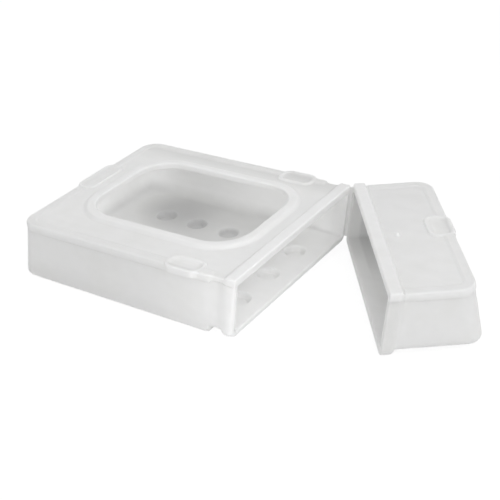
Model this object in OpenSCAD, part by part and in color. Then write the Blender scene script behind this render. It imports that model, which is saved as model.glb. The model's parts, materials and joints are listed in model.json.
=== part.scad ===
// Hinged protective box in milky translucent plastic: a flat body, open at one end and through a window
// in its top, and a deep end cap that swings on a thin flexible web along the back of the mouth.
// Lengths in millimetres, +Z up. The origin is under the middle foot, on the resting plane.
// +X runs from the closed end to the mouth, and the web is on the +Y side.

/* [Body] */
// Length from the foot of the closed end to the middle of the mouth
body_l = 134; // [124:1:150]
// Width over the side walls
body_w = 110; // [100:1:125]
// Height of the top plate at the mouth
body_h = 33.6; // [28:0.2:38]
// Thickness of walls, floors and top plates
wall = 1.8; // [1.4:0.1:2.2]
// Radius of the upright corners at the closed end
corner_r = 8.5; // [8:0.5:14]
// Radius where the walls turn under
foot_r = 3.5; // [3:0.5:6]
// How far a closed end leans in over the body's height
end_draft = 5.8; // [1:0.2:8]
// How far the top plate falls from the mouth to the closed end
top_fall = 2; // [0.2:0.2:3]

/* [Floor] */
// Height of the floor's underside over the resting plane
floor_rise = 3.1; // [2.4:0.1:3.6]
// Width of the ring round the underside that the body stands on
foot_ring_w = 6; // [5:0.5:7]
// Diameter of the round dimples in the floor, which are feet underneath
dimple_d = 11; // [8:0.5:12]
// How much narrower a dimple is at its bottom
dimple_taper = 2; // [1:0.2:3]
// From the closed end to the first dimples
dimple_start = 35; // [28:1:38]
// From the mouth to the last dimples
dimple_end = 14.5; // [12:0.5:16]
// Distance between dimples across the body
dimple_pitch = 26.5; // [20:0.5:28]

/* [Mouth] */
// How far the mouth leans over the body's height
mouth_lean = 4.2; // [1:0.2:4.6]
// Width of the raised collar round each mouth
collar_w = 6.5; // [6:0.1:9]
// How far the collars stand out
collar_proud = 1.5; // [0.8:0.1:1.6]
// Width of the neck between the body and its collar
neck_w = 7.7; // [6:0.1:9]
// How far the neck and the cap are set in from the body's side walls
neck_inset = 1; // [0.4:0.1:1.4]
// Gap between the two mouths when the cap is shut
mouth_gap = 0.4; // [0.3:0.1:0.8]

/* [Seam] */
// Width of the raised border round a top plate
bead_w = 4.5; // [3:0.5:6]
// How far the border turns down over the walls
bead_drop = 4; // [3:0.5:6]
// How far the border stands out from the walls
bead_proud = 0.8; // [0.5:0.1:1]
// How far the border stands over the top plate
bead_rise = 0.5; // [0.3:0.1:0.8]
// Clearance between the walls and the border that laps them
seam_clear = 0.1; // [0.05:0.05:0.2]

/* [Window] */
// Length of the window
window_l = 92; // [70:1:95]
// Width of the window
window_w = 69; // [50:1:70]
// Corner radius of the window
window_r = 17.5; // [8:0.5:22]
// From the mouth to the window
window_setback = 17; // [15:0.5:20]
// How far the window sits off the middle, towards the web
window_shift = 1.8; // [0:0.2:2.4]
// Width of the raised rim round the window
rim_w = 5.5; // [3:0.5:6]
// Height of the rim
rim_h = 1.5; // [0.6:0.1:2]

/* [Finger grips] */
// Length of the grips on the long sides and on the cap
side_grip_l = 25; // [20:1:27]
// Length of the grip at the closed end
end_grip_l = 35; // [25:1:45]
// From the mouth to the middle of the side grips
side_grip_setback = 28.5; // [28:0.5:34]
// How far the grips on the closed ends sit off the middle, towards the web
end_grip_shift = 5.5; // [0:0.5:10]
// How far a side grip reaches over the top plate
side_grip_in = 12; // [9:0.5:13]
// How far the closed-end grip reaches over the top plate
end_grip_in = 9.5; // [9:0.5:12]
// How far the cap's grip reaches over the top plate
cap_grip_in = 15; // [11:0.5:16]
// How far the body's grips stand out from the walls
grip_out = 2.8; // [2.6:0.1:4]
// How far the cap's grip stands out from the wall
cap_grip_out = 2; // [1.4:0.1:3]
// How far the grips' lips reach down the walls
grip_drop = 3; // [2:0.5:3]
// Width of the ridge round a grip
grip_ridge = 2.2; // [1.6:0.2:2.4]
// Height of the ridge over the top plate
grip_rise = 0.9; // [0.8:0.1:1.4]
// Corner radius of a grip
grip_r = 6; // [4.5:0.5:6]

/* [Cap] */
// Depth of the cap from the middle of the mouth to its foot
cap_l = 48; // [46:0.5:60]
// Radius of the upright corners of the cap
cap_r = 8.5; // [7:0.5:11]
// From the cap's collar to the start of its border
cap_neck_w = 1; // [0.6:0.1:6]
// From the mouth to the moulding gate on the cap's top
gate_setback = 14; // [13:0.1:22]
// Diameter of the gate mark
gate_d = 3; // [2:0.2:4]
// Height of the gate mark
gate_h = 0.6; // [0.4:0.1:1]

/* [Web] */
// Thickness of the web
web_t = 0.9; // [0.7:0.1:1]
// Width of each half of the web
web_w = 4.8; // [4.2:0.1:5]
// Clearance round the web's fold
web_clear = 0.3; // [0.3:0.05:0.4]
// Distance from the web's ends to the top plate and to the collar's underside
web_end = 6; // [5:0.5:9]
// How far the cap stands open
open_angle = 36.5; // [10:0.5:90]

/* [Hidden] */
$fn = 64;

milky = [0.90, 0.90, 0.90];
dimple_cols = 5;
dimple_rows = 3;
big = 4 * (body_l + body_w + cap_l);

closed_x = -(body_l + dimple_start - dimple_end) / 2;
mouth_x = closed_x + body_l;
cap_end_x = mouth_x + cap_l;
dimple_step = (body_l - dimple_start - dimple_end) / (dimple_cols - 1);
neck_half_w = body_w / 2 - neck_inset;
neck_start = collar_w + neck_w;
draft_angle = atan(end_draft / body_h);
fall_angle = atan(top_fall / body_l);
lean_angle = atan(mouth_lean / body_h);
floor_top = floor_rise + wall;
inner_foot_r = foot_r - wall;
closed_top = body_l - (body_h - top_fall) * tan(draft_angle);
cap_top = cap_l - end_draft;
hinge_y = neck_half_w + collar_proud;
web_low = floor_rise - collar_proud + web_end;
web_high = body_h - web_end;
web_foot = mouth_lean / 2 + web_clear;

// Flat outline with rounded corners, about its middle
module rounded_rect(l, w, r) {
    square([l - 2 * r, w], center = true);
    square([l, w - 2 * r], center = true);
    for (x = [-1, 1], y = [-1, 1])
        translate([x * (l / 2 - r), y * (w / 2 - r)]) circle(r);
}

// Section across a tray, open upwards, with its two lower edges rounded
module tub_section(half_w, z0, r) {
    translate([-half_w, z0 + r]) square([2 * half_w, big]);
    translate([r - half_w, z0]) square([2 * (half_w - r), big]);
    for (y = [-1, 1])
        translate([y * (half_w - r), z0 + r]) circle(r);
}

// A tub section carried along X, past both ends of the object
module tub(half_w, z0, r)
    translate([-big / 2, 0, 0]) rotate([90, 0, 90]) linear_extrude(big) tub_section(half_w, z0, r);

// All that lies inside a closed end whose foot is at x = 0 and which leans in: upright corners of
// radius r, and a lower edge of radius foot that touches both the end wall and the plane z0
module end_form(half_w, r, z0, foot) {
    run_in = foot * (1 + sin(draft_angle)) / cos(draft_angle) + z0 * tan(draft_angle);
    intersection() {
        rotate([0, draft_angle, 0])
            translate([big / 2, 0, -big / 2]) linear_extrude(big) rounded_rect(big, 2 * half_w, r);
        rotate([90, 0, 0]) translate([0, 0, -big / 2]) linear_extrude(big) {
            translate([run_in, z0 + foot]) circle(foot);
            translate([run_in, z0]) square(big);
            translate([run_in, z0 + foot]) rotate(-draft_angle) translate([-foot, 0]) square(big);
        }
    }
}

// The body grown by g, with its underside at z0 and its lower edges rounded by foot
module body_form(g, z0, foot)
    intersection() {
        tub(body_w / 2 + g, z0, foot);
        translate([closed_x - g / cos(draft_angle), 0, 0])
            end_form(body_w / 2 + g, corner_r + g, z0, foot);
    }

// The neck grown by g; the cap has the same section
module neck_form(g, z0, foot)
    tub(neck_half_w + g, z0, foot);

// The shut cap grown by g
module cap_form(g, z0, foot)
    intersection() {
        neck_form(g, z0, foot);
        translate([cap_end_x + g / cos(draft_angle), 0, 0])
            mirror([1, 0, 0]) end_form(neck_half_w + g, cap_r + g, z0, foot);
    }

// All that lies before the leaning plane d past the middle of the mouth
module before_mouth(d)
    translate([mouth_x + d, 0, body_h / 2])
        rotate([0, lean_angle, 0]) translate([-big, -big / 2, -big / 2]) cube(big);

// The slice between two planes parallel to the mouth
module mouth_slice(d0, d1)
    difference() {
        before_mouth(d1);
        before_mouth(d0);
    }

// Puts work on the body's falling top plate, with x counted from the mouth
module on_body_top()
    translate([mouth_x, 0, body_h]) rotate([0, -fall_angle, 0]) children();

// Puts work on the shut cap's top plate, with x counted from the mouth
module on_cap_top()
    translate([mouth_x, 0, body_h]) children();

// All that lies under the plane z = dz
module under(dz)
    translate([-big / 2, -big / 2, dz - big]) cube(big);

// Turns the cap from shut to where it stands
module open_cap()
    translate([mouth_x, hinge_y, 0]) rotate([0, 0, open_angle])
        translate([-mouth_x, -hinge_y, 0]) children();

// Places work at every dimple
module each_dimple()
    for (col = [0 : dimple_cols - 1], row = [0 : dimple_rows - 1])
        translate([closed_x + dimple_start + col * dimple_step,
                   (row - (dimple_rows - 1) / 2) * dimple_pitch, 0]) children();

// Outline of a finger grip, drawn in by inset: its wall is at y = 0, with the outside towards -Y
module grip_outline(l, reach, out, inset)
    translate([0, (reach - out) / 2])
        rounded_rect(l - 2 * inset, reach + out - 2 * inset, grip_r - inset);

// A flat outline raised h over a top plate at z = 0, and rooted in the plate
module raised(h)
    translate([0, 0, -wall / 2]) linear_extrude(h + wall / 2) children();

// Finger grip on a top plate at z = 0: a lip that hangs before the wall, under a raised ridge
module grip(l, reach, out) {
    translate([0, 0, -grip_drop]) linear_extrude(grip_drop) grip_outline(l, reach, out, 0);
    raised(grip_rise) difference() {
        grip_outline(l, reach, out, 0);
        grip_outline(l, reach, out, grip_ridge);
    }
}

// Shallow pocket for the web in the outer back face of both collars
module web_pocket()
    translate([mouth_x - web_w, hinge_y - web_t - web_clear, web_low])
        cube([2 * web_w, 2 * (web_t + web_clear), web_high - web_low]);

// Half of the web on the cap's side of the fold: a thin strip from x = start, with a thicker foot
// that is bedded in the pocket
module web_half(start)
    translate([mouth_x, hinge_y, web_low + web_clear]) {
        translate([start, -web_t, 0]) cube([web_w - start, web_t, web_high - web_low - 2 * web_clear]);
        translate([web_foot, -web_t - web_clear, 0])
            cube([web_w - web_foot, web_t + web_clear, web_high - web_low - 2 * web_clear]);
    }

// Collar round a mouth, between two planes parallel to it
module collar(d0, d1)
    intersection() {
        neck_form(collar_proud, floor_rise - collar_proud, foot_r + collar_proud);
        mouth_slice(d0, d1);
    }

// Lower shell of the body: floor with dimples, foot ring, three walls, neck and lower collar
module body_tray() color(milky) difference() {
    intersection() {
        union() {
            difference() {
                intersection() {
                    body_form(0, 0, foot_r);
                    before_mouth(-neck_start);
                }
                intersection() {
                    body_form(-foot_ring_w, -big / 8, foot_r);
                    before_mouth(-neck_start - foot_ring_w);
                    under(floor_rise);
                }
            }
            intersection() {
                neck_form(0, floor_rise, foot_r);
                mouth_slice(-neck_start - wall, -mouth_gap / 2);
            }
            collar(-collar_w, -mouth_gap / 2);
            each_dimple()
                cylinder(h = floor_top, d1 = dimple_d - dimple_taper + wall, d2 = dimple_d + 2 * wall);
        }
        on_body_top() under(-wall);
    }
    intersection() {
        body_form(-wall, floor_top, inner_foot_r);
        before_mouth(-neck_start - wall);
    }
    difference() {
        neck_form(-wall, floor_top, inner_foot_r);
        before_mouth(-neck_start - 2 * wall);
    }
    each_dimple() translate([0, 0, wall])
        cylinder(h = floor_rise, d1 = dimple_d - dimple_taper, d2 = dimple_d);
    web_pocket();
}

// Top plate of the body: window with rim, border lapping the walls, three grips, upper collar
module body_cover() color(milky) difference() {
    union() {
        difference() {
            intersection() {
                body_form(bead_proud, 0, foot_r);
                before_mouth(-neck_start);
                on_body_top() under(bead_rise);
            }
            on_body_top() under(-bead_drop);
            difference() {
                body_form(-bead_w, 0, foot_r);
                on_body_top() under(0);
            }
        }
        difference() {
            intersection() {
                neck_form(0, floor_rise, foot_r);
                mouth_slice(-neck_start - wall, -mouth_gap / 2);
                on_body_top() under(0);
            }
            on_body_top() under(-wall);
        }
        difference() {
            intersection() {
                collar(-collar_w, -mouth_gap / 2);
                on_body_top() under(collar_proud);
            }
            on_body_top() under(-wall);
        }
        on_body_top() {
            translate([-window_setback - window_l / 2, window_shift, 0]) raised(rim_h)
                rounded_rect(window_l + 2 * rim_w, window_w + 2 * rim_w, window_r + rim_w);
            for (side = [0, 1])
                mirror([0, side, 0]) translate([-side_grip_setback, -body_w / 2, 0])
                    grip(side_grip_l, side_grip_in, grip_out);
            translate([-closed_top, end_grip_shift, 0]) rotate(-90)
                grip(end_grip_l, end_grip_in, grip_out);
        }
    }
    intersection() {
        body_form(seam_clear, 0, foot_r);
        on_body_top() under(-wall);
    }
    on_body_top() translate([-window_setback - window_l / 2, window_shift, -2 * wall])
        linear_extrude(4 * wall) rounded_rect(window_l, window_w, window_r);
}

// Lower shell of the cap: floor, three walls and lower collar
module cap_tray() color(milky) open_cap() difference() {
    intersection() {
        union() {
            difference() {
                cap_form(0, floor_rise, foot_r);
                before_mouth(mouth_gap / 2);
            }
            collar(mouth_gap / 2, collar_w);
        }
        on_cap_top() under(-wall);
    }
    cap_form(-wall, floor_top, inner_foot_r);
    web_pocket();
}

// Top plate of the cap: border lapping the walls, grip, upper collar and gate mark
module cap_cover() color(milky) open_cap() difference() {
    union() {
        difference() {
            intersection() {
                cap_form(bead_proud, floor_rise, foot_r);
                on_cap_top() under(bead_rise);
            }
            before_mouth(collar_w + cap_neck_w);
            on_cap_top() under(-bead_drop);
            difference() {
                cap_form(-bead_w, floor_rise, foot_r);
                on_cap_top() under(0);
            }
        }
        difference() {
            intersection() {
                cap_form(0, floor_rise, foot_r);
                on_cap_top() under(0);
            }
            before_mouth(mouth_gap / 2);
            on_cap_top() under(-wall);
        }
        difference() {
            intersection() {
                collar(mouth_gap / 2, collar_w);
                on_cap_top() under(collar_proud);
            }
            on_cap_top() under(-wall);
        }
        on_cap_top() {
            translate([cap_top, end_grip_shift, 0]) rotate(90) grip(side_grip_l, cap_grip_in, cap_grip_out);
            translate([gate_setback, 0, 0]) raised(gate_h) circle(d = gate_d);
        }
    }
    intersection() {
        cap_form(seam_clear, floor_rise, foot_r);
        on_cap_top() under(-wall);
    }
}

// Half of the web on the body, with the round fold line on the axis
module hinge_web() color(milky) {
    translate([2 * mouth_x, 0, 0]) mirror([1, 0, 0]) web_half(0);
    translate([mouth_x, hinge_y, web_low + web_clear])
        cylinder(h = web_high - web_low - 2 * web_clear, d = web_t);
}

// Half of the web on the cap
module cap_hinge_leaf() color(milky) open_cap() web_half(web_t / 2 + web_clear);

body_tray();
body_cover();
cap_tray();
cap_cover();
hinge_web();
cap_hinge_leaf();
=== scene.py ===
import json
import math
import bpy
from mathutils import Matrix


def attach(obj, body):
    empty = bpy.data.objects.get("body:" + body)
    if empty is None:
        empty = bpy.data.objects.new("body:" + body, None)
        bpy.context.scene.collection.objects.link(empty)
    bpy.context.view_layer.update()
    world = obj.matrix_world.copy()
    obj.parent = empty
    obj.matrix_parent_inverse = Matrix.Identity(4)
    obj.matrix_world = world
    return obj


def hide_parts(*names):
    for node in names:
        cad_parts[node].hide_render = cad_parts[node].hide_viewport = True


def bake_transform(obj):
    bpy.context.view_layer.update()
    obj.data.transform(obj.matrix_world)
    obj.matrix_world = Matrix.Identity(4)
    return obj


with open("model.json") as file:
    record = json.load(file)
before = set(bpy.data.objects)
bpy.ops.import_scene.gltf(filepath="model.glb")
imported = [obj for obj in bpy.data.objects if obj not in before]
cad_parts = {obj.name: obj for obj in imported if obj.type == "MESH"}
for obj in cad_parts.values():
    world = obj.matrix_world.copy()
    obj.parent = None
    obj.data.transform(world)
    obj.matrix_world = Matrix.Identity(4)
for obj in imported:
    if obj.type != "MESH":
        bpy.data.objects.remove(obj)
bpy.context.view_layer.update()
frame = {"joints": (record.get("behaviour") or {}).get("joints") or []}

from types import SimpleNamespace

import bpy
import numpy as np
from mathutils import Matrix

bl_info = {
    "name": "Hinged protective box",
    "version": (1, 0, 0),
    "blender": (4, 5, 0),
    "location": "View3D > Sidebar > Box",
    "description": "Milky moulded box with a windowed body and a swinging end cap",
    "category": "Add Mesh",
}

HINGE = frame["joints"][0]
MOUTH_X, HINGE_Y = (1000 * v for v in HINGE["pos_m"][:2])
OPEN_ANGLE = -math.radians(HINGE["range_deg"][0])
MM = 0.001

# Counts, and lengths in millimetres that no size property holds
DIMPLE_COLS, DIMPLE_ROWS = 5, 3
BODY_STRAIGHT, CAP_STRAIGHT = 26.0, 12.0  # from the mouth to where the lean of a closed end begins
FOLD_HALF = 1.3  # each side of the fold line, where the web bends
PAST = 600.0  # beyond any end of the box
RAY_END = 95.0  # beyond the end of any ray over the body's plate
SHARP_ANGLE = math.radians(40)  # past which faces aren't shaded as one
TRAY_WALL = np.array([0.03, 0.09, 0.18, 0.3, 0.45, 0.6, 0.75, 0.9, 1.0])  # shares of a wall's height


def length(name, description, default):
    """A length property in metres."""
    return bpy.props.FloatProperty(name=name, description=description, default=default, min=0.0,
                                   unit="LENGTH", subtype="DISTANCE", precision=4)


class BoxSizes(bpy.types.PropertyGroup):
    """Lengths of the box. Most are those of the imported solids. Window, grips, border reach, gate height
    and web end follow the photograph more closely, and roundings and hollows were added."""
    body_l: length("Body length", "From the foot of the closed end to the middle of the mouth", 0.134)
    body_w: length("Body width", "Over the side walls", 0.11)
    body_h: length("Body height", "Height of the top plate at the mouth", 0.0336)
    wall: length("Wall", "Thickness of walls, floors and top plates", 0.0018)
    corner_r: length("Corner radius", "Upright corners at the closed end", 0.0085)
    foot_r: length("Foot radius", "Where the walls turn under", 0.0035)
    inner_fillet: length("Inner fillet", "How much rounder the body is inside, away from the mouth", 0.0043)
    end_draft: length("End draft", "How far a closed end leans in over the height", 0.0058)
    top_fall: length("Top fall", "How far the top plate falls to the closed end", 0.002)
    floor_rise: length("Floor rise", "Floor's underside over the resting plane", 0.0031)
    foot_ring_w: length("Foot ring", "Width of the ring that the body stands on", 0.006)
    dimple_d: length("Dimple", "Diameter of the dimples in the floor", 0.011)
    dimple_taper: length("Dimple taper", "How much narrower a dimple is at its bottom", 0.002)
    dimple_start: length("Dimple start", "From the closed end to the first dimples", 0.035)
    dimple_end: length("Dimple end", "From the mouth to the last dimples", 0.0145)
    dimple_pitch: length("Dimple pitch", "Distance between dimples across the body", 0.0265)
    mouth_lean: length("Mouth lean", "How far the mouth leans over the height", 0.0042)
    collar_w: length("Collar width", "Raised collar round each mouth", 0.0065)
    collar_proud: length("Collar height", "How far the collars stand out", 0.0015)
    neck_w: length("Neck width", "Neck between the body and its collar", 0.0077)
    neck_inset: length("Neck inset", "How far neck and cap are set in from the side walls", 0.001)
    mouth_gap: length("Mouth gap", "Gap between the shut mouths", 0.0004)
    bead_w: length("Border width", "Raised border round a top plate", 0.0045)
    bead_drop: length("Border drop", "How far the border turns down over the walls", 0.004)
    bead_proud: length("Border reach", "How far the border stands out from the walls", 0.0005)
    bead_rise: length("Border rise", "How far the border stands over the plate", 0.0005)
    seam_clear: length("Seam clearance", "Between the walls and the border", 0.0001)
    window_l: length("Window length", "Along the body", 0.092)
    window_w: length("Window width", "Across the body", 0.0665)
    window_r: length("Window radius", "Corner radius of the window", 0.0185)
    window_setback: length("Window setback", "From the mouth to the window", 0.017)
    window_shift: length("Window shift", "Off the middle, towards the web", 0.00305)
    rim_w: length("Rim width", "Raised rim round the window", 0.0055)
    rim_h: length("Rim height", "Height of the rim", 0.0015)
    side_grip_l: length("Side grip", "Length of the grips on the sides and on the cap", 0.0205)
    end_grip_l: length("End grip", "Length of the grip at the closed end", 0.0305)
    side_grip_setback: length("Side grip setback", "From the mouth to the middle of the side grips", 0.0285)
    end_grip_shift: length("End grip shift", "Off the middle, towards the web", 0.0055)
    side_grip_in: length("Side grip reach", "How far a side grip reaches over the plate", 0.0098)
    end_grip_in: length("End grip reach", "How far the closed-end grip reaches over the plate", 0.0086)
    cap_grip_in: length("Cap grip reach", "How far the cap's grip reaches over the plate", 0.0118)
    grip_out: length("Grip lip", "How far the body's grips stand out", 0.0024)
    cap_grip_out: length("Cap grip lip", "How far the cap's grip stands out", 0.0018)
    grip_drop: length("Grip drop", "How far the lips reach down the walls", 0.003)
    grip_ridge: length("Grip ridge", "Width of the ridge round a grip", 0.0022)
    grip_rise: length("Grip rise", "Height of the ridge", 0.0009)
    grip_scoop: length("Grip scoop", "Depth of the hollow inside a grip's ridge", 0.0006)
    grip_r: length("Grip radius", "Corner radius of a grip", 0.0052)
    cap_l: length("Cap depth", "From the middle of the mouth to the cap's foot", 0.048)
    cap_r: length("Cap radius", "Upright corners of the cap", 0.0085)
    cap_neck_w: length("Cap neck", "From the cap's collar to its border", 0.001)
    gate_setback: length("Gate setback", "From the mouth to the gate mark", 0.014)
    gate_d: length("Gate diameter", "Moulding gate on the cap's top", 0.003)
    gate_h: length("Gate height", "Height of the gate mark", 0.0013)
    web_t: length("Web thickness", "Thickness of the flexible web", 0.0009)
    web_w: length("Web width", "Width of each half of the web", 0.0048)
    web_clear: length("Web clearance", "Round the web's fold", 0.0003)
    web_end: length("Web end", "From the web's ends to the collars' upper and under sides", 0.0022)
    edge_r: length("Edge radius", "Rounding of the moulded edges", 0.0008)
    mouth_r: length("Mouth radius", "Rounding of the mouth at its lower front corner", 0.0026)
    soft_w: length("Soft width", "Width over which raised forms run out into the plates", 0.0018)


class BoxLook(bpy.types.PropertyGroup):
    """Colours of the plastic, of the grey painted as shade, and the strength of the studio light."""
    tint: bpy.props.StringProperty(name="Plastic", description="sRGB hex of the milky plastic",
                                   default="#F9F9F8")
    cloud_tint: bpy.props.StringProperty(name="Cloud", description="sRGB hex of its denser clouds",
                                         default="#F3F3F2")
    # The grey that is mixed in as painted shade where the thickness look is below 0
    painted_shade_tint: bpy.props.StringProperty(name="Thin", description="sRGB hex where the plastic is thin",
                                        default="#D2D2D2")
    glow_depth: length("Glow depth", "How far light travels inside the plastic", 0.0008)
    sheer: bpy.props.FloatProperty(name="Sheerness", description="Share of the light that passes a wall",
                                   default=0.2, min=0.0, max=1.0, subtype="FACTOR")
    clear: bpy.props.FloatProperty(name="Clearness", description="Share more that passes from inside",
                                   default=0.4, min=0.0, max=1.0, subtype="FACTOR")
    sky: bpy.props.FloatProperty(name="Sky", description="Strength of the even light", default=0.69,
                                 min=0.0)
    key: bpy.props.FloatProperty(name="Key", description="Power of the large lamp on the right",
                                 default=3.1, min=0.0, unit="POWER")
    fill: bpy.props.FloatProperty(name="Fill", description="Power of the small lamp before the mouth",
                                  default=0.0032, min=0.0, unit="POWER")


def sizes(context):
    """The size properties in millimetres, with the values that follow from them."""
    group = context.scene.box_sizes
    s = SimpleNamespace(**{k: 1000 * getattr(group, k) for k in BoxSizes.__annotations__})
    s.closed_x = MOUTH_X - s.body_l
    s.neck_half = s.body_w / 2 - s.neck_inset
    s.neck_start = s.collar_w + s.neck_w
    s.draft = s.end_draft / s.body_h
    s.lean = s.mouth_lean / s.body_h
    s.fall = s.top_fall / s.body_l
    s.floor_top = s.floor_rise + s.wall
    s.dimple_step = (s.body_l - s.dimple_start - s.dimple_end) / (DIMPLE_COLS - 1)
    s.closed_top_x = s.closed_x + (s.body_h - s.top_fall) * s.draft
    s.mouth_top_x = MOUTH_X + s.mouth_lean / 2
    s.web_low = s.floor_rise - s.collar_proud + s.web_end
    s.web_high = s.body_h + s.collar_proud - s.web_end
    return s


# Small formulas that the surfaces share

def soft_step(x, width):
    """0 below -width/2, 1 above width/2, and a cubic ease between."""
    t = np.clip(x / width + 0.5, 0.0, 1.0)
    return t * t * (3.0 - 2.0 * t)


def quarter_drop(depth, r):
    """How far a quarter round of radius r falls away at a point that lies depth inside its end."""
    t = np.clip(r - depth, 0.0, r)
    return r - np.sqrt(r * r - t * t)


def box_distance(x, y, x0, x1, y0, y1, r):
    """Signed distance to a rounded rectangle: the distance to its core, less the corner radius."""
    qx = np.abs(x - (x0 + x1) / 2) - (x1 - x0) / 2 + r
    qy = np.abs(y - (y0 + y1) / 2) - (y1 - y0) / 2 + r
    return np.hypot(np.maximum(qx, 0), np.maximum(qy, 0)) + np.minimum(np.maximum(qx, qy), 0) - r


def soft_min(a, b, k):
    """The smaller of two distances, with the inner corner between them filled over k."""
    h = np.clip(0.5 + 0.5 * (b - a) / k, 0.0, 1.0)
    return b + (a - b) * h - k * h * (1.0 - h)


def merged(gap, *lists):
    """The positions of all lists in rising order, each more than gap after the one before."""
    every = np.sort(np.concatenate(lists))
    return every[np.concatenate([[True], np.diff(every) > gap])]


def stations(low, high, step, marks=(), fine=0.25, span=0.9):
    """Positions from low to high at an even step, with closer ones within span of each mark."""
    even = np.linspace(low, high, max(2, int(round((high - low) / step)) + 1))
    near = [np.arange(m - span, m + span + fine / 2, fine) for m in marks]
    every = np.concatenate([even] + near)
    every = merged(fine / 3, every[(every >= low) & (every <= high)])
    every[0], every[-1] = low, high
    return every


def table(stretches):
    """One row for each place in the stretches, in order: a stretch's single values are repeated."""
    return np.concatenate([np.stack(np.broadcast_arrays(*part), -1) for part in stretches])


def run_out(share):
    """How far a skirt has run out on the wall at a share of its depth, so that no gap shows below."""
    return 0.99 * soft_step(share - 0.7, 0.6)


# Meshes

def signed_volume(points, quads):
    """Volume inside closed quads, by tetrahedra from the origin: positive if they face outwards."""
    a, b, c, d = (points[quads[:, k]] for k in range(4))
    return (np.einsum("ij,ij->i", a, np.cross(b, c)) + np.einsum("ij,ij->i", a, np.cross(c, d))).sum() / 6


def finish_mesh(context, name, points, quads, thick, body, nodes, sheer=0.0):
    """Puts points in millimetres and quads into a smooth mesh that rides on a body. Two values set the look
    of each point: thick is above 0 where less light passes, for thick plastic and as painted light, and
    below
    0 where the colour is painted grey as shade; sheer is above 0 where more light passes."""
    if signed_volume(points, quads) < 0:
        quads = quads[:, ::-1]
    mesh = bpy.data.meshes.new(name)
    mesh.from_pydata((points * MM).tolist(), [], quads.tolist())
    mesh.polygons.foreach_set("use_smooth", np.ones(len(quads), bool))
    mesh.set_sharp_from_angle(angle=SHARP_ANGLE)
    for look, values in (("thickness_and_painted_shading", thick), ("sheer_look", sheer)):
        layer = mesh.attributes.new(look, "FLOAT", "POINT")
        layer.data.foreach_set("value", np.broadcast_to(np.ravel(values), len(points)).astype(np.float32))
    mesh.validate()
    mesh.materials.append(milky_polypropylene(context.scene.box_look))
    piece = bpy.data.objects.new(name, mesh)
    context.scene.collection.objects.link(piece)
    if body:
        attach(piece, body)
    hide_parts(*nodes)
    return piece


def grid_quads(index):
    """Quads between the neighbours of a two-way array of point numbers."""
    return np.stack([index[:-1, :-1], index[:-1, 1:], index[1:, 1:], index[1:, :-1]], -1).reshape(-1, 4)


def closed_shell(outer, inner):
    """Points and quads of two grids of one size, joined along their four edges."""
    n, m = outer.shape[:2]
    index = np.arange(n * m).reshape(n, m)
    edge = np.concatenate([index[0, :-1], index[:-1, -1], index[-1, :0:-1], index[:0:-1, 0]])
    ahead = np.roll(edge, -1)
    strip = np.stack([ahead, edge, edge + n * m, ahead + n * m], -1)
    quads = np.concatenate([grid_quads(index), grid_quads(index)[:, ::-1] + n * m, strip])
    return np.concatenate([outer.reshape(-1, 3), inner.reshape(-1, 3)]), quads


def closed_ring(grid):
    """Points and quads of a grid that closes on itself both ways."""
    n, m = grid.shape[:2]
    index = np.arange(n * m).reshape(n, m)
    index = np.pad(index, ((0, 1), (0, 1)), mode="wrap")
    return grid.reshape(-1, 3), grid_quads(index)


def swing(points):
    """Turns points of the shut cap about the upright hinge line to where the cap stands."""
    c, s = math.cos(OPEN_ANGLE), math.sin(OPEN_ANGLE)
    dx, dy = points[..., 0] - MOUTH_X, points[..., 1] - HINGE_Y
    return np.stack([MOUTH_X + c * dx - s * dy, HINGE_Y + s * dx + c * dy, points[..., 2]], -1)


# Nets: a tray, or a plate with a skirt, as one grid folded up at three sides

def profile(flat, arc, wall):
    """Rows of a net's profile from its core outwards: share of the flat, sine and cosine round the
    edge, share of the wall. The first row is the edge of the core."""
    turn = np.linspace(0.0, math.pi / 2, arc + 1)[1:]
    return table([([0.0], 0.0, 1.0, 0.0), (flat, 0.0, 1.0, 0.0), (1.0, np.sin(turn), np.cos(turn), 0.0),
                  (1.0, 1.0, 0.0, wall)])


def net(along, across, rows, half_w, low, edge, rim, draw_in=0.0):
    """A grid folded up at its far end and at both sides. In the core a point is (along, across, low).
    Past the core it goes out by the profile: over the flat, round an edge of radius edge, up the wall
    to rim, where it runs out by draw_in. Where end and side both go out, the further of the two sets the
    profile row, and the ratio of the two sets the bearing round the upright corner. Returns the distance
    from the mouth, y, the height, and the profile's four columns at every point."""
    n_out = len(rows) - 1
    out = np.arange(n_out, 0, -1)
    far = np.concatenate([out, np.zeros(len(along), int)])[:, None]
    side = np.concatenate([out, np.zeros(len(across), int), out[::-1]])[None, :]
    core_half = across[-1]
    across = np.pad(across, n_out, mode="edge")[None, :]
    along, half_w, low, edge, rim, draw_in = (
        np.pad(np.broadcast_to(v, len(along)), (n_out, 0), mode="edge")[:, None]
        for v in (along, half_w, low, edge, rim, draw_in))
    quarter = math.pi / 4
    bearing = np.where(far >= side, quarter * side / np.maximum(far, 1),
                       2 * quarter - quarter * far / np.maximum(side, 1))
    column = np.moveaxis(rows[np.maximum(far, side)], -1, 0)
    flat, sine, cosine, wall = column
    reach = flat * (half_w - edge - core_half) + edge * sine - draw_in * run_out(wall)
    height = low + edge * (1 - cosine) + wall * (rim - low - edge)
    distance = along + reach * np.cos(bearing) * (far > 0)
    y = across + np.sign(across) * reach * np.sin(bearing)
    return distance, y, height, column


def stand(s, distance, y, z, core_end, straight, direction):
    """Places a net: its closed end leans in with the height, its mouth leans by the mouth's angle, and
    the share of each goes over evenly between the straight part near the mouth and the core's end."""
    share = np.clip((distance - straight) / (core_end - straight), 0.0, 1.0)
    x = MOUTH_X + direction * (distance - share * s.draft * z)
    x = x + (1.0 - share) * s.lean * (z - s.body_h / 2)
    return np.stack([x, np.broadcast_to(y, x.shape), z], -1)


def body_top(s, x):
    """Height of the body's top plate, which falls away from the mouth."""
    return s.body_h + s.fall * (x - MOUTH_X)


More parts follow.
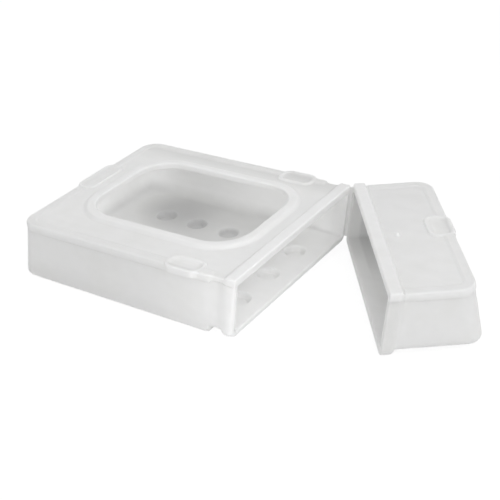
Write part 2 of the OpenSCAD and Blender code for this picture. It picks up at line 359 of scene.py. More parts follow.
def side_half(s, d):
    """Half-width over the side walls at a distance from the mouth: body, neck and collar, each eased into
    the next over four times the soft width."""
    ease = 4 * s.soft_w
    return (s.body_w / 2 - s.neck_inset * soft_step(s.neck_start - d, ease)
            + s.collar_proud * soft_step(s.collar_w - d, ease))


def cap_half(s, d):
    """Half-width over the cap's side walls at a distance from the mouth: cap and collar, eased."""
    return s.neck_half + s.collar_proud * soft_step(s.collar_w - d, 2 * s.soft_w)


def collar_share(s, d):
    """1 on a collar, 0 beyond it, at a distance from the mouth."""
    return soft_step(s.collar_w - d, s.soft_w)


def dimple_offset(s, x, y):
    """Distance from the middle of the nearest dimple: the grid is folded into one cell."""
    first = s.closed_x + s.dimple_start
    col = np.clip(np.round((x - first) / s.dimple_step), 0, DIMPLE_COLS - 1)
    row = np.clip(np.round(y / s.dimple_pitch), -(DIMPLE_ROWS // 2), DIMPLE_ROWS // 2)
    return np.hypot(x - first - col * s.dimple_step, y - row * s.dimple_pitch)


def web_pocket(s, distance, y):
    """Depth of the web's pocket in the back of a collar, eased at its edge."""
    return (s.web_t + s.web_clear) * soft_step(s.web_w - distance, 0.8) * (y > 0)


def tray_skirt(s, covered):
    """How far a tray's rim lies below the plate: under the border's skirt where covered is 1, and just
    under the plate where it is 0."""
    return s.bead_drop * covered + (s.wall + s.edge_r) * (1 - covered) + s.seam_clear / 4


def body_inside_look(s, d, y, sine, sunk):
    """How thick and how sheer the body's inside looks. The floor passes less light and looks lighter near
    the mouth and at the closed end, as painted light, and is painted grey as shade in a bell-shaped patch
    at the back, in the dimples and round their edges. The walls are sheer, most at the closed end and not
    by the patch. The collar is thick."""
    x = MOUTH_X - d
    patch_x, patch_y, patch_l, patch_w = -40, 34, 32, 26
    patch = np.exp(-((x - patch_x) / patch_l) ** 2 - ((y - patch_y) / patch_w) ** 2)
    deep = soft_step(d - 24, 24.0)
    closed_end = soft_step(patch_x - x, 40.0) * (1 - patch)
    # Painted shade: grey in a bell-shaped patch at the back, in the dimples and round their edges
    thin = np.clip(1.05 * patch + 0.4 * deep * sunk + 1.4 * sunk * (1 - sunk), 0.0, 1.0)
    # Painted light: near the mouth and at the closed end the floor passes less light and looks lighter
    thick = (np.maximum(1 - deep, closed_end) - thin) * (1 - sine)
    beyond = 1 - collar_share(s, d)
    sheer = sine * beyond * np.clip(1 - 1.3 * patch, 0.0, 1.0) * (1 + 0.6 * closed_end)
    return thick * beyond + 1 - beyond, sheer


def body_tray_surface(s):
    """Outer and inner net of the body's lower shell, and their looks. Outside, half-width and underside
    step in to the neck and out again to the collar with the distance from the mouth. Below, a foot ring
    and the feet under the dimples stand on z = 0. Inside, the floor is flat with dimples pressed down,
    and it runs up into the walls over a fillet that grows with the distance from the mouth."""
    end = s.mouth_gap / 2
    edge = s.edge_r
    core_end = s.body_l - s.corner_r
    core_half = s.body_w / 2 - s.corner_r
    radius = s.dimple_d / 2
    cols = s.dimple_end + s.dimple_step * np.arange(DIMPLE_COLS)
    lines = s.dimple_pitch * (np.arange(DIMPLE_ROWS) - DIMPLE_ROWS // 2)
    marks = [end + edge / 2, s.collar_w, s.neck_start, s.neck_start + s.wall, s.neck_start + s.foot_ring_w]
    along = merged(0.1, stations(end, core_end, 1.1, [*(cols - radius), *(cols + radius)], 0.45, 2.2),
                   stations(end, core_end, 10.0, marks, 0.22, 0.9))[::-1]
    across = stations(-core_half, core_half, 1.2, [*(lines - radius), *(lines + radius)], 0.45, 2.2)
    ring = (s.corner_r - s.foot_ring_w) / (s.corner_r - s.foot_r)
    flat = np.concatenate([[ring / 2], ring + 0.09 * np.linspace(-1, 1, 5), [0.8, 1.0]])
    rows = profile(flat, arc=7, wall=TRAY_WALL)

    at_neck = soft_step(s.neck_start - along, s.soft_w)
    round_off = quarter_drop(along - end, edge)
    rim = body_top(s, MOUTH_X - along) - tray_skirt(s, soft_step(along - s.neck_start, 0.6))
    half_w = side_half(s, along) - round_off
    low = s.floor_rise * at_neck - s.collar_proud * collar_share(s, along) + round_off
    d, y, z, (_, sine, cosine, up) = net(along, across, rows, half_w, low, s.foot_r, rim)
    x = MOUTH_X - d
    wall_gap = -np.maximum(box_distance(x, y, s.closed_x, s.closed_x + PAST, -s.body_w / 2, s.body_w / 2,
                                        s.corner_r), s.neck_start - d)
    hollow = soft_step(wall_gap - s.foot_ring_w, 0.8)
    feet = soft_step(radius + s.wall / 2 - dimple_offset(s, x, y), 1.8)
    under_neck = soft_step(s.neck_start - d, s.soft_w)
    lift = s.floor_rise * hollow * (1 - under_neck) * (1 - feet)
    lift = lift - s.floor_rise * feet * under_neck * soft_step(d - s.collar_w, 0.8)
    z = z + lift * (sine == 0)
    y = y - web_pocket(s, d, y) * sine
    rounder = (quarter_drop(d - end, s.mouth_r) - quarter_drop(d - end, edge)) * (1 - up) * (y < 0)
    y = y + rounder * sine
    z = z + 2 * rounder * sine * cosine
    outer = stand(s, d, y, z, core_end, BODY_STRAIGHT, -1)
    thick_outside = collar_share(s, d)

    at_neck = soft_step(s.neck_start + s.wall - along, 2 * s.soft_w)
    half_w = s.body_w / 2 - s.wall - s.neck_inset * at_neck + round_off
    low = s.floor_top - round_off
    foot = s.foot_r - s.wall + s.inner_fillet * soft_step(along - 22, 20.0)
    d, y, z, (_, sine, _, _) = net(along, across, rows, half_w, low, foot, rim)
    sunk = soft_step(radius - s.dimple_taper / 4 - dimple_offset(s, MOUTH_X - d, y), s.dimple_taper)
    z = z - s.floor_rise * sunk * (sine == 0)
    inner = stand(s, d, y, z, core_end, BODY_STRAIGHT, -1)
    thick, sheer = body_inside_look(s, d, y, sine, sunk)
    return outer, inner, np.stack([thick_outside, thick]), np.stack([np.zeros(d.shape), sheer])


def cap_tray_surface(s):
    """Outer and inner net of the cap's lower shell, shut, and their looks: the neck's section, with a
    collar. Outside, the collar is painted a little grey as shade. Inside, it is painted grey as shade and
    is less sheer towards the back."""
    end = s.mouth_gap / 2
    edge = s.edge_r
    core_end = s.cap_l - s.cap_r
    core_half = s.neck_half - s.cap_r
    along = stations(end, core_end, 1.5, [end + edge / 2, s.web_w, s.collar_w], 0.22, 0.9)[::-1]
    across = stations(-core_half, core_half, 3.0)
    rows = profile(np.array([0.5, 1.0]), arc=7, wall=TRAY_WALL)
    round_off = quarter_drop(along - end, edge)
    bordered = soft_step(along - s.collar_w - s.cap_neck_w, s.cap_neck_w)
    rim = s.body_h - tray_skirt(s, bordered)
    half_w = cap_half(s, along) - round_off
    low = s.floor_rise - s.collar_proud * collar_share(s, along) + round_off
    d, y, z, (_, sine, _, _) = net(along, across, rows, half_w, low, s.foot_r, rim)
    y = y - web_pocket(s, d, y) * sine
    outer = stand(s, d, y, z, core_end, CAP_STRAIGHT, 1)
    # Painted shade: the collar's outside is a little grey
    thick_outside = -0.15 * collar_share(s, d)
    half_w = s.neck_half - s.wall + round_off
    low = s.floor_top - round_off
    d, y, z, _ = net(along, across, rows, half_w, low, s.foot_r - s.wall, rim)
    inner = stand(s, d, y, z, core_end, CAP_STRAIGHT, 1)
    # Painted shade: grey inside towards the back, which also passes less light
    back = soft_step(y - 25, 60.0)
    thick = np.stack([thick_outside, 0.4 * collar_share(s, d) - 0.85 * back])
    sheer = np.stack([np.zeros(d.shape), soft_step(d - 10, 12.0) * (0.5 - 0.3 * back)])
    return swing(outer), swing(inner), thick, sheer


def highest(s, border, grip_gap, *forms):
    """Height of the highest of border, grip ridge and other forms. The ridge lies just inside the grip's
    outline, from the signed distance to it, and the border stops there."""
    border = border * (1 - soft_step(-grip_gap - 0.4, 0.8))
    ridge = s.grip_rise * soft_step(-grip_gap, 0.9) * soft_step(grip_gap + s.grip_ridge, s.soft_w)
    return np.maximum.reduce([border, ridge, *forms])


def scoop_depth(s, grip_gap):
    """Depth of the hollow that a grip's ridge encloses."""
    return s.grip_scoop * soft_step(-grip_gap - 1.5 * s.grip_ridge, 2 * s.soft_w)


def cap_cover_surface(s):
    """Top and under side of the cap's plate, shut, as nets turned upside down: the height counts
    downwards from the plate. Collar, border, grip ridge and gate mark are heights over the plate,
    worked out from distances to their outlines. The grip's lip is a bulge of the end."""
    end = s.mouth_gap / 2
    edge = s.edge_r
    core_end = s.cap_l - s.cap_r
    core_half = s.neck_half - s.cap_r
    start = s.collar_w + s.cap_neck_w
    cap_top = s.cap_l - s.end_draft
    gate_grid = np.linspace(-2.2, 2.2, 16)
    along = merged(0.08, stations(end, core_end, 0.6, [end + edge / 2, s.collar_w, start], 0.2, 0.9),
                   s.gate_setback + gate_grid)[::-1]
    grip = s.end_grip_shift - s.side_grip_l / 2, s.end_grip_shift + s.side_grip_l / 2
    across = merged(0.08, stations(-core_half, core_half, 2.4), gate_grid,
                    stations(grip[0] - 1.5, grip[1] + 1.5, 0.55))
    skirt = np.array([0.25, 0.5, 0.62, 0.68, 0.73, 0.78, 0.84, 0.92, 1.0])
    rows = profile(np.linspace(0, 1, 17)[1:], arc=5, wall=skirt)
    bordered = soft_step(along - start, s.cap_neck_w)
    round_off = quarter_drop(along - end, edge)
    half_w = cap_half(s, along) + s.bead_proud * bordered - round_off
    drop = s.bead_drop * bordered + (s.wall + edge) * (1 - bordered)
    draw_in = s.bead_proud * bordered
    d, y, down, (_, sine, _, up) = net(along, across, rows, half_w, 0.0, edge, drop, draw_in)
    leaning = np.clip((d - CAP_STRAIGHT) / (core_end - CAP_STRAIGHT), 0.0, 1.0)
    depth_at_top = d - s.draft * s.body_h * leaning
    wall_gap = -box_distance(depth_at_top, y, -PAST, cap_top, -s.neck_half, s.neck_half, s.cap_r)
    border = s.bead_rise * soft_step(s.bead_w - wall_gap, 1.0) * soft_step(d - start, 0.8)
    grip_gap = box_distance(depth_at_top, y, cap_top - s.cap_grip_in, cap_top + s.cap_grip_out, *grip,
                            s.grip_r)
    collar = s.collar_proud * collar_share(s, d)
    gate = s.gate_h * soft_step(s.gate_d / 2 - np.hypot(d - s.gate_setback, y), 1.8)
    rise = highest(s, border, grip_gap, collar, gate)
    thick = np.maximum(rise / s.collar_proud, gate / s.gate_h)
    rise = rise - scoop_depth(s, grip_gap) - quarter_drop(d - end, edge)
    off_middle = np.abs(y - s.end_grip_shift) - s.side_grip_l / 2
    round_in = np.clip(off_middle + s.grip_r, 0.0, s.grip_r)
    bulge = s.cap_grip_out - s.grip_r + np.sqrt(s.grip_r ** 2 - round_in ** 2)
    bulge = np.maximum(bulge - s.bead_proud, 0.0) * (off_middle < 0)
    at_end = np.concatenate([np.ones(len(rows) - 1), np.zeros(len(along))])[:, None]
    d = d + bulge * sine * at_end * soft_step(s.grip_drop - down, 0.35)
    y = y - web_pocket(s, d, y) * sine
    z = s.body_h - down + rise * (1 - up)
    top = stand(s, d, y, z, core_end, CAP_STRAIGHT, 1)

    half_w = s.neck_half - s.wall + round_off
    d, y, down, _ = net(along, across, rows, half_w, s.wall - round_off, edge, drop)
    under = stand(s, d, y, s.body_h - down, core_end, CAP_STRAIGHT, 1)
    return swing(top), swing(under), np.stack([thick, collar_share(s, d)])


# The body's plate: a closed profile carried round the window

def body_grips(s):
    """Outlines of the body's three grips as low and high x, low and high y."""
    mid = MOUTH_X - s.side_grip_setback
    reach = s.body_w / 2 - s.side_grip_in
    out = s.body_w / 2 + s.grip_out
    x0, x1 = mid - s.side_grip_l / 2, mid + s.side_grip_l / 2
    y0, y1 = s.end_grip_shift - s.end_grip_l / 2, s.end_grip_shift + s.end_grip_l / 2
    return [(x0, x1, -out, -reach), (x0, x1, reach, out),
            (s.closed_top_x - s.grip_out, s.closed_top_x + s.end_grip_in, y0, y1)]


def grip_distance(s, x, y):
    """Signed distance to the nearest grip outline."""
    return np.minimum.reduce([box_distance(x, y, *g, s.grip_r) for g in body_grips(s)])


def wall_distance(s, x, y):
    """Signed distance to the outline of the body's walls at the height of the plate."""
    end = s.closed_top_x
    return box_distance(x, y, end, end + PAST, -s.body_w / 2, s.body_w / 2, s.corner_r)


def plate_distance(s, x, y, grips):
    """Signed distance to the plate's outline: border, neck and collar, with the grips' lips or not."""
    d = s.mouth_top_x - x
    half = side_half(s, d) + s.bead_proud * soft_step(d - s.neck_start, s.soft_w) - web_pocket(s, d, y)
    gap = np.maximum(wall_distance(s, x, y) - s.bead_proud, np.abs(y) - half)
    if grips:
        gap = soft_min(gap, grip_distance(s, x, y), 0.8)
    return -soft_min(-gap, d - s.mouth_gap / 2, 0.7)


def reach_to(s, distance, px, py, nx, ny):
    """Where rays from (px, py) leave an outline: the interval is halved 44 times on the signed distance."""
    near, far = np.full(len(px), s.window_r), np.full(len(px), RAY_END)
    for _ in range(44):
        mid = (near + far) / 2
        inside = distance(px + mid * nx, py + mid * ny) < 0
        near, far = np.where(inside, mid, near), np.where(inside, far, mid)
    return (near + far) / 2


def plate_height(s, x, y, window_gap):
    """Height of rim, border, collar and grip ridges over the body's plate."""
    d = s.mouth_top_x - x
    rim = s.rim_h * (1 - soft_step(window_gap - s.rim_w, 1.6 * s.soft_w))
    grip_gap = grip_distance(s, x, y)
    border = s.bead_rise * soft_step(wall_distance(s, x, y) + s.bead_w, s.soft_w)
    border = border * soft_step(d - s.neck_start, s.soft_w)
    return highest(s, border, grip_gap, rim, s.collar_proud * collar_share(s, d)) - scoop_depth(s, grip_gap)


def body_cover_surface(s):
    """Rays go out from the window's core: square to its straight sides, fanned round its corners. The
    profile runs along each ray: over the window's rim and the plate to the outline, round the edge,
    down the lip and the skirt, under it to the wall's inner face, up inside, back along the underside
    and up to the rim. Also how thick each point looks: rim and raised forms are thick, the underside passes
    less light and looks lighter as painted light, and a strip at the back is painted grey as shade."""
    wx1 = MOUTH_X - s.window_setback
    ox0, ox1 = wx1 - s.window_l + s.window_r, wx1 - s.window_r
    oy0, oy1 = (s.window_shift + side * (s.window_w / 2 - s.window_r) for side in (-1, 1))
    collar_y = s.neck_half + s.collar_proud
    neck_x, collar_x = s.mouth_top_x - s.neck_start, s.mouth_top_x - s.collar_w
    end_x = s.mouth_top_x - s.mouth_gap / 2
    side_x = stations(ox0, ox1, 0.9, [MOUTH_X - s.side_grip_setback - s.side_grip_l / 2 + 1.5], 0.4, 4.0)
    to_mouth = stations(ox1, end_x, 0.7, [neck_x, collar_x, end_x], 0.18, 0.8)

    def fan(core_y):
        """Bearings from a corner of the core to points along the collar's side and its end."""
        to_end = stations(core_y, collar_y, 1.0, [collar_y], 0.18, 0.8)[::-1]
        return merged(5e-4, np.arctan2(to_mouth[1:] - ox1, collar_y - core_y),
                      np.arctan2(end_x - ox1, to_end[1:-1] - core_y))

    # Where the rays start and their bearings, from the front side by the mouth to the closed end
    quarter = math.pi / 2
    mouth_y, end_y = np.linspace(oy0, oy1, 27), np.linspace(oy1, oy0, 49)
    end_fan = np.linspace(0, quarter, 105)[1:-1]
    stretches = [(side_x, oy0, 0.0), (ox1, oy0, fan(-oy0)), (ox1, mouth_y, quarter),
                 (ox1, oy1, 2 * quarter - fan(oy1)[::-1]), (side_x[::-1], oy1, 2 * quarter),
                 (ox0, oy1, 2 * quarter + end_fan), (ox0, end_y, 3 * quarter),
                 (ox0, oy0, 3 * quarter + end_fan)]
    px, py, bearing = table(stretches).T
    nx, ny = np.sin(bearing), -np.cos(bearing)

    full = reach_to(s, lambda x, y: plate_distance(s, x, y, True), px, py, nx, ny)
    plain = reach_to(s, lambda x, y: plate_distance(s, x, y, False), px, py, nx, ny)
    walls = reach_to(s, lambda x, y: wall_distance(s, x, y), px, py, nx, ny)
    inner = reach_to(s, lambda x, y: wall_distance(s, x, y) + s.wall, px, py, nx, ny)
    neck = reach_to(s, lambda x, y: np.abs(y) - s.neck_half + s.wall, px, py, nx, ny)
    bordered = soft_step(neck_x - px - plain * nx, 0.6)
    lap = bordered * np.minimum(walls, plain - 0.2) + (1 - bordered) * (plain - 0.05)
    inner = bordered * inner + (1 - bordered) * np.minimum(neck, plain - s.wall)
    drop = bordered * s.bead_drop + (1 - bordered) * (s.wall + s.edge_r)
    px, py, nx, ny, full, plain, lap, inner, drop = (
        v[:, None] for v in (px, py, nx, ny, full, plain, lap, inner, drop))
    r0, e = s.window_r, s.edge_r

    def level(distances, heights):
        """A block of profile rows: distance along the ray and height over the plate."""
        return [np.broadcast_to(v, (len(px), v.shape[1])) for v in (distances, heights)]

    def top_rows(distances):
        """Height of the raised forms at distances along the rays."""
        return plate_height(s, px + distances * nx, py + distances * ny, distances - r0)

    # Rows near the rim count from the window, rows near the border from the outline
    rim_end, border_start = 7.4, 6.8
    near = r0 + np.concatenate([[1.4, 2.6, 3.8], np.arange(4.6, 6.7, 0.26), [rim_end]])[None, :]
    inset = np.array([[6.4, 6.0, 5.7, 5.4, 5.1, 4.8, 4.4, 3.9, 3.4, 2.9, 2.4, 1.9, 1.4]])
    span = np.linspace(0, 1, 27)[None, 1:-1]
    plate = r0 + rim_end + (full - border_start - r0 - rim_end) * span
    flat = np.concatenate([near + 0 * full, plate, full - inset], 1)
    lip = s.grip_drop / s.bead_drop
    upper = np.array([[0.3, 0.42, 0.55, 0.66, lip - 0.02]])
    lower = np.array([[lip, 0.82, 0.89, 0.95, 1.0]])
    turn = np.linspace(0, quarter, 6)[None, :]
    sine, cosine = e * np.sin(turn), e * np.cos(turn)
    returning = np.linspace(0, 1, 8)[None, 1:]
    blocks = [level(r0 + e - cosine, s.rim_h - e + sine),
              level(flat, top_rows(flat)),
              level(full - e + sine, top_rows(full - e) - e + cosine),
              level(full - (plain - lap) * run_out(upper), -upper * drop),
              level(plain - (plain - lap) * run_out(lower), -lower * drop),
              level(inner + 0.05, -drop),
              level(inner, -drop + 0.05),
              level(inner - e + cosine, -s.wall - e + sine),
              level(inner - e + (r0 + 0.3 - inner + e) * returning, np.full((1, 7), -s.wall)),
              level(np.full((1, 3), r0), np.array([[-s.wall + 0.3, -0.7, 0.0]]))]
    r, h = (np.concatenate(column, 1) for column in zip(*blocks))

    x, y = px + r * nx, py + r * ny
    # Rays that end near the closed end lean with its draft, and those near the mouth with the mouth
    far_x = px + plain * nx
    leaning = s.draft * (1 - soft_step(far_x - s.closed_top_x - 20, 14.0))
    leaning = leaning + s.lean * soft_step(far_x - s.mouth_top_x + 22, 8.0)
    leaning = leaning * (r - r0) / (full - r0)
    raised = np.maximum(np.clip(h / s.collar_proud, 0.0, 1.0), soft_step(r0 + 1.5 - r, 1.0))
    # Painted light: the underside passes less light, so the inside looks lighter
    raised = np.maximum(raised, 0.8 * (h <= -s.wall))
    # Painted shade: a strip at the back is grey
    thick = np.maximum(raised, collar_share(s, s.mouth_top_x - x)) - 0.4 * soft_step(y - 44, 16.0)
    return np.stack([x + h * leaning, y, body_top(s, x) + h], -1), thick


def web_surface(s):
    """Both faces of a thin strip carried across the fold: along it the bearing eases from the body's side
    to the cap's. On the fold line it is thinned to about half, as a moulded web is."""
    arm = np.linspace(FOLD_HALF, s.web_w, 8)[1:]
    along = np.concatenate([-arm[::-1], np.linspace(-FOLD_HALF, FOLD_HALF, 17), arm])[:, None]
    bearing = OPEN_ANGLE * soft_step(along, 2 * FOLD_HALF)
    thin = s.web_t * (1 - 0.45 * np.exp(-(along / 0.8) ** 2))
    z = np.linspace(s.web_low, s.web_high, 9)
    faces = []
    for depth in (0.0, -thin):
        x = MOUTH_X + along * np.cos(bearing) - depth * np.sin(bearing)
        y = HINGE_Y + along * np.sin(bearing) + depth * np.cos(bearing)
        faces.append(np.stack(np.broadcast_arrays(x, y, z), -1))
    return faces


# Materials

def linear(hex_colour):
    """An sRGB hex colour as linear red, green, blue and alpha."""
    c = np.array([int(hex_colour[k:k + 2], 16) for k in (1, 3, 5)]) / 255
    return (*np.where(c <= 0.04045, c / 12.92, ((c + 0.055) / 1.055) ** 2.4).tolist(), 1.0)


def add_node(tree, kind, values=None, links=None, **settings):
    """Adds a node with its settings, the values of its sockets and the links into them."""
    node = tree.nodes.new(kind)
    for key, value in settings.items():
        setattr(node, key, value)
    for key, value in (values or {}).items():
        node.inputs[key].default_value = value
    for key, (source, output) in (links or {}).items():
        tree.links.new(source.outputs[output], node.inputs[key])
    return node


def milky_polypropylene(look):
    """Natural polypropylene, injection moulded and unpigmented. Light spreads inside the thin walls, so
    shadows fill and edges glow; the mould's fine spark texture leaves a satin skin, and the melt leaves
    faint clouds and flow streaks."""
    name = "milky_polypropylene"
    if name in bpy.data.materials:
        return bpy.data.materials[name]
    material = bpy.data.materials.new(name)
    material.use_nodes = True
    tree = material.node_tree
    tree.nodes.clear()
    place = add_node(tree, "ShaderNodeTexCoord")
    cloud_mm, streak_mm, grain_mm = 16.0, 5.0, 0.7
    cloud = add_node(tree, "ShaderNodeTexNoise",
                     {"Scale": 1000 / cloud_mm, "Detail": 3.0, "Roughness": 0.55},
                     {"Vector": (place, "Object")})
    stretch = add_node(tree, "ShaderNodeMapping", {"Scale": (0.16, 1.0, 0.7)},
                       {"Vector": (place, "Object")})
    streak = add_node(tree, "ShaderNodeTexNoise", {"Scale": 1000 / streak_mm, "Detail": 2.0},
                      {"Vector": (stretch, "Vector")})
    both = add_node(tree, "ShaderNodeMix", {"Factor": 0.7}, {"A": (streak, "Fac"), "B": (cloud, "Fac")})
    tint = add_node(tree, "ShaderNodeValToRGB", links={"Fac": (both, "Result")})
    tint.color_ramp.elements[0].position = 0.3
    tint.color_ramp.elements[0].color = linear(look.cloud_tint)
    tint.color_ramp.elements[1].position = 0.62
    tint.color_ramp.elements[1].color = linear(look.tint)
    # Below 0 this look mixes the colour towards a grey tint: painted shade. Above 0 less light passes.
    depth = add_node(tree, "ShaderNodeAttribute", attribute_name="thickness_and_painted_shading")
    thin = add_node(tree, "ShaderNodeMath", {1: -1.0}, {0: (depth, "Fac")}, operation="MULTIPLY",
                    use_clamp=True)
    milk = add_node(tree, "ShaderNodeMix", {"B": linear(look.painted_shade_tint)},
                    {"Factor": (thin, "Value"), "A": (tint, "Color")}, data_type="RGBA")
    grain = add_node(tree, "ShaderNodeTexNoise", {"Scale": 1000 / grain_mm, "Detail": 2.0},
                     {"Vector": (place, "Object")})
    satin = add_node(tree, "ShaderNodeMapRange", {"To Min": 0.34, "To Max": 0.5},
                     {"Value": (cloud, "Fac")})
    skin = add_node(tree, "ShaderNodeBump", {"Strength": 0.12, "Distance": 0.0001},
                    {"Height": (grain, "Fac")})
    shader = add_node(tree, "ShaderNodeBsdfPrincipled",
                      {"IOR": 1.49, "Subsurface Weight": 1.0, "Subsurface Radius": (1.0, 1.0, 1.0),
                       "Subsurface Scale": look.glow_depth},
                      {"Base Color": (milk, "Result"), "Roughness": (satin, "Result"),
                       "Normal": (skin, "Normal")})
    through = add_node(tree, "ShaderNodeBsdfTranslucent", links={"Color": (milk, "Result")})
    sheer = add_node(tree, "ShaderNodeMapRange", {"To Min": look.sheer, "To Max": 0.3 * look.sheer},
                     {"Value": (depth, "Fac")})
    clear = add_node(tree, "ShaderNodeAttribute", attribute_name="sheer_look")
    passing = add_node(tree, "ShaderNodeMath", {1: look.clear}, {0: (clear, "Fac"), 2: (sheer, "Result")},
                       operation="MULTIPLY_ADD")
    sheet = add_node(tree, "ShaderNodeMixShader",
                     links={0: (passing, "Value"), 1: (shader, "BSDF"), 2: (through, "BSDF")})
    # Light that has entered a wall leaves it on the far side, so a wall counts once and not twice
    side = add_node(tree, "ShaderNodeNewGeometry")
    leaving = add_node(tree, "ShaderNodeBsdfTransparent")
    wall = add_node(tree, "ShaderNodeMixShader",
                    links={0: (side, "Backfacing"), 1: (sheet, "Shader"), 2: (leaving, "BSDF")})
    add_node(tree, "ShaderNodeOutputMaterial", links={"Surface": (wall, "Shader")})
    return material


def seen_directly(tree):
    """1 for rays that show the background: from the camera, off gloss and through glass."""
    path = add_node(tree, "ShaderNodeLightPath")
    first = add_node(tree, "ShaderNodeMath", links={0: (path, "Is Camera Ray"), 1: (path, "Is Glossy Ray")},
                     operation="MAXIMUM")
    return add_node(tree, "ShaderNodeMath", links={0: (first, "Value"), 1: (path, "Is Transmission Ray")},
                    operation="MAXIMUM")


def studio_floor():
    """Matt white seamless paper. Seen directly it is near white, with the object's shadow left in it."""
    material = bpy.data.materials.new("white_paper_sweep")
    material.use_nodes = True
    tree = material.node_tree
    tree.nodes.clear()
    place = add_node(tree, "ShaderNodeTexCoord")
    fibre = add_node(tree, "ShaderNodeTexNoise", {"Scale": 900.0, "Detail": 2.0},
                     {"Vector": (place, "Object")})
    shade = add_node(tree, "ShaderNodeValToRGB", links={"Fac": (fibre, "Fac")})
    shade.color_ramp.elements[0].color = linear("#E9E9E9")
    shade.color_ramp.elements[1].color = linear("#EFEFEF")
    paper = add_node(tree, "ShaderNodeBsdfDiffuse", links={"Color": (shade, "Color")})
    faint = add_node(tree, "ShaderNodeBsdfDiffuse", {"Color": linear("#7A7A7A")})
    glow = add_node(tree, "ShaderNodeEmission", {"Color": linear("#FFFFFF"), "Strength": 0.87})
    shown = add_node(tree, "ShaderNodeAddShader", links={0: (faint, "BSDF"), 1: (glow, "Emission")})
    seen = seen_directly(tree)
    mix = add_node(tree, "ShaderNodeMixShader",
                   links={0: (seen, "Value"), 1: (paper, "BSDF"), 2: (shown, "Shader")})
    add_node(tree, "ShaderNodeOutputMaterial", links={"Surface": (mix, "Shader")})
    return material


# Operators

class BOX_OT_body_tray(bpy.types.Operator):
    """Makes the body's lower shell"""
    bl_idname = "box.body_tray"
    bl_label = "Body tray"

    def execute(self, context):
        outer, inner, thick, sheer = body_tray_surface(sizes(context))
        finish_mesh(context, "body_shell", *closed_shell(outer, inner), thick, "body", ["body_tray"], sheer)
        return {"FINISHED"}


class BOX_OT_body_cover(bpy.types.Operator):
    """Makes the body's top plate with its window"""
    bl_idname = "box.body_cover"
    bl_label = "Body top plate"

    def execute(self, context):
        grid, thick = body_cover_surface(sizes(context))
        finish_mesh(context, "body_top_plate", *closed_ring(grid), thick, "body", ["body_cover"])
        return {"FINISHED"}


class BOX_OT_cap_tray(bpy.types.Operator):
    """Makes the cap's lower shell"""
    bl_idname = "box.cap_tray"
    bl_label = "Cap tray"

    def execute(self, context):
        outer, inner, thick, sheer = cap_tray_surface(sizes(context))
        finish_mesh(context, "cap_shell", *closed_shell(outer, inner), thick, "cap", ["cap_tray"], sheer)
        return {"FINISHED"}


class BOX_OT_cap_cover(bpy.types.Operator):
    """Makes the cap's top plate"""
    bl_idname = "box.cap_cover"
    bl_label = "Cap top plate"

    def execute(self, context):
        outer, inner, thick = cap_cover_surface(sizes(context))
        finish_mesh(context, "cap_top_plate", *closed_shell(outer, inner), thick, "cap", ["cap_cover"])
        return {"FINISHED"}


class BOX_OT_hinge_web(bpy.types.Operator):
    """Makes the flexible web that joins the body and the cap"""
    bl_idname = "box.hinge_web"
    bl_label = "Hinge web"

    def execute(self, context):
        s = sizes(context)
        web = finish_mesh(context, "flexible_web", *closed_shell(*web_surface(s)), 0.0, None,
                          ["hinge_web", "cap_hinge_leaf"])
        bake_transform(web)
        return {"FINISHED"}


class BOX_OT_stage(bpy.types.Operator):
    """Makes the floor, the studio light and the camera"""
    bl_idname = "box.stage"
    bl_label = "Stage"

    def execute(self, context):
        scene, look = context.scene, context.scene.box_look
        mesh = bpy.data.meshes.new("floor")
        half = 3.0
        corners = [(-half, -half, 0), (half, -half, 0), (half, half, 0), (-half, half, 0)]
        mesh.from_pydata(corners, [], [(0, 1, 2, 3)])
        mesh.materials.append(studio_floor())
        floor = bpy.data.objects.new("floor", mesh)
        scene.collection.objects.link(floor)

        world = bpy.data.worlds.new("studio")
        scene.world = world
        world.use_nodes = True
        tree = world.node_tree
        tree.nodes.clear()
        white = add_node(tree, "ShaderNodeBackground", {"Color": linear("#FFFFFF"), "Strength": 1.0})
        even = add_node(tree, "ShaderNodeBackground", {"Color": linear("#FFFFFF"), "Strength": look.sky})
        mix = add_node(tree, "ShaderNodeMixShader",
                       links={0: (seen_directly(tree), "Value"), 1: (even, "Background"),
                              2: (white, "Background")})
        add_node(tree, "ShaderNodeOutputWorld", links={"Surface": (mix, "Shader")})

        softbox(scene, "key_softbox", look.key, 0.7, math.pi, (0.75, -0.35, 0.75), (0.03, 0.0, 0.01))
        softbox(scene, "mouth_fill", look.fill, 0.05, math.radians(50), (0.10, -0.15, 0.06),
                (0.045, -0.02, 0.004))

        # Bearing, tilt and roll that place the box's edges where the photograph has them
        yaw, pitch, roll = (math.radians(v) for v in (-33.95007, 29.593, -2.72554))
        ahead = np.array([math.sin(yaw) * math.cos(pitch), math.cos(yaw) * math.cos(pitch),
                          -math.sin(pitch)])
        level = np.array([math.cos(yaw), -math.sin(yaw), 0.0])
        above = np.cross(level, ahead)
        right = math.cos(roll) * level + math.sin(roll) * above
        up = math.cos(roll) * above - math.sin(roll) * level
        view = bpy.data.cameras.new("view")
        view.lens, view.sensor_width, view.sensor_height = 84.19706, 36.0, 36.0
        camera = bpy.data.objects.new("view", view)
        camera.matrix_world = placed(right, up, -ahead, np.array([0.317178, -0.426039, 0.307449]))
        scene.collection.objects.link(camera)
        scene.camera = camera
        scene.view_settings.view_transform = "Standard"
        return {"FINISHED"}


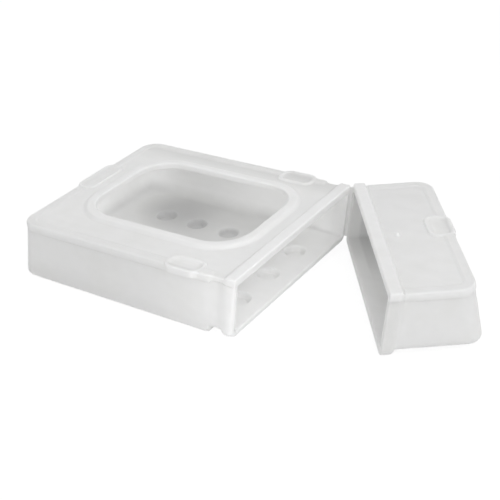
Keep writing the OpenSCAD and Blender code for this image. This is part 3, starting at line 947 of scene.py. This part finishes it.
def softbox(scene, name, power, size, spread, eye, aim):
    """Adds a square lamp at eye that shines on aim, with two of its sides level."""
    lamp = bpy.data.lights.new(name, "AREA")
    lamp.energy, lamp.size, lamp.spread = power, size, spread
    box = bpy.data.objects.new(name, lamp)
    back = np.subtract(eye, aim) / np.linalg.norm(np.subtract(eye, aim))
    right = np.cross((0.0, 0.0, 1.0), back)
    right = right / np.linalg.norm(right)
    box.matrix_world = placed(right, np.cross(back, right), back, eye)
    scene.collection.objects.link(box)


def placed(right, up, back, eye):
    """A matrix at eye with the three axes as its columns, so that it looks along -back."""
    return Matrix([(*axis, 0.0) for axis in (right, up, back)] + [(*eye, 1.0)]).transposed()


OPERATORS = (BOX_OT_body_tray, BOX_OT_body_cover, BOX_OT_cap_tray, BOX_OT_cap_cover, BOX_OT_hinge_web,
             BOX_OT_stage)


class BOX_PT_panel(bpy.types.Panel):
    """Lists the pieces of the box and their sizes"""
    bl_label = "Hinged box"
    bl_idname = "BOX_PT_panel"
    bl_space_type = "VIEW_3D"
    bl_region_type = "UI"
    bl_category = "Box"

    def draw(self, context):
        for operator in OPERATORS:
            self.layout.operator(operator.bl_idname)
        for group in (context.scene.box_sizes, context.scene.box_look):
            for key in group.__annotations__:
                self.layout.prop(group, key)


CLASSES = (BoxSizes, BoxLook) + OPERATORS + (BOX_PT_panel,)


def register():
    """Registers the classes and both property groups."""
    for cls in CLASSES:
        bpy.utils.register_class(cls)
    bpy.types.Scene.box_sizes = bpy.props.PointerProperty(type=BoxSizes)
    bpy.types.Scene.box_look = bpy.props.PointerProperty(type=BoxLook)


def unregister():
    """Takes away what register added."""
    del bpy.types.Scene.box_look
    del bpy.types.Scene.box_sizes
    for cls in reversed(CLASSES):
        bpy.utils.unregister_class(cls)


def main():
    """Makes the pieces and the stage."""
    register()
    bpy.ops.box.body_tray()
    bpy.ops.box.body_cover()
    bpy.ops.box.cap_tray()
    bpy.ops.box.cap_cover()
    bpy.ops.box.hinge_web()
    bpy.ops.box.stage()


if __name__ == "__main__":
    main()
